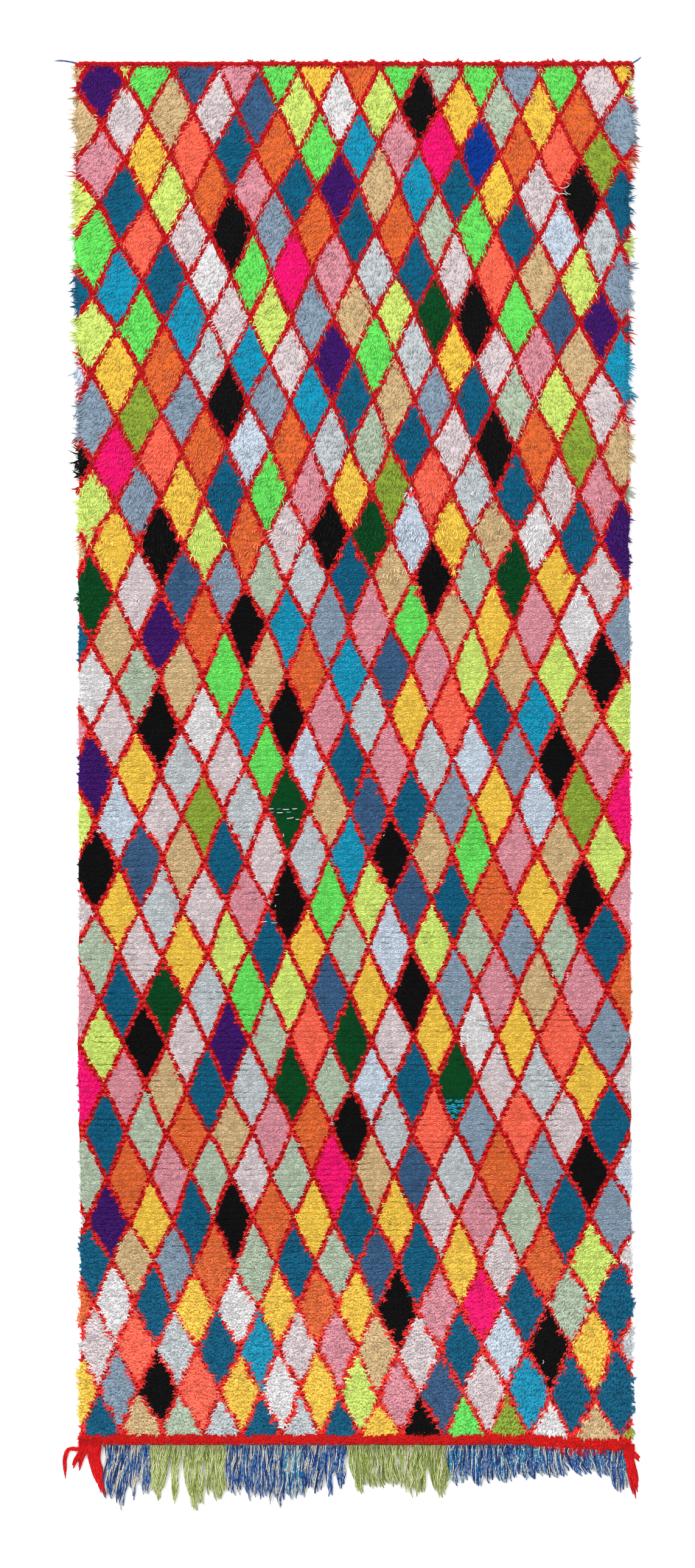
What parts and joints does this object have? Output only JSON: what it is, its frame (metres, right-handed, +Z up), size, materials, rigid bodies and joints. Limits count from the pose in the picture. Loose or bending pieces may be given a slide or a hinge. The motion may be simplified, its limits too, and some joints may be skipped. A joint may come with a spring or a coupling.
{
  "type": "moroccan rug",
  "caption": "Flat hand-knotted shaggy pile rug in a red-outlined diamond lattice of many colours, with a rolled head, a foot band, warp fringe and loose corner tassels.",
  "frame": {"origin": "middle of the knotted field's flat underside, at floor level", "axes": "+Y along the rug towards its rolled head, +X across it to the right as seen from above with the head up, +Z up from the floor"},
  "size_m": [1.0693, 2.6487, 0.021],
  "materials": {
    "mixed_pile": "matt cut wool and cotton pile in many colours",
    "red_wool": "matt red wool yarn",
    "blue_warp": "plied blue and natural cotton warp",
    "olive_warp": "plied olive and natural cotton warp"
  },
  "bodies": {
    "root": {"pile_field": "mixed_pile", "top_binding": "red_wool", "foot_band": "red_wool", "fringe_blue_left": "blue_warp", "fringe_olive_left": "olive_warp", "fringe_blue_middle": "blue_warp", "fringe_olive_right": "olive_warp", "fringe_blue_right": "blue_warp", "corner_tassel_left": "red_wool", "corner_tassel_right": "red_wool", "loose_end_left": "blue_warp", "loose_end_right": "blue_warp"}
  },
  "joints": []
}
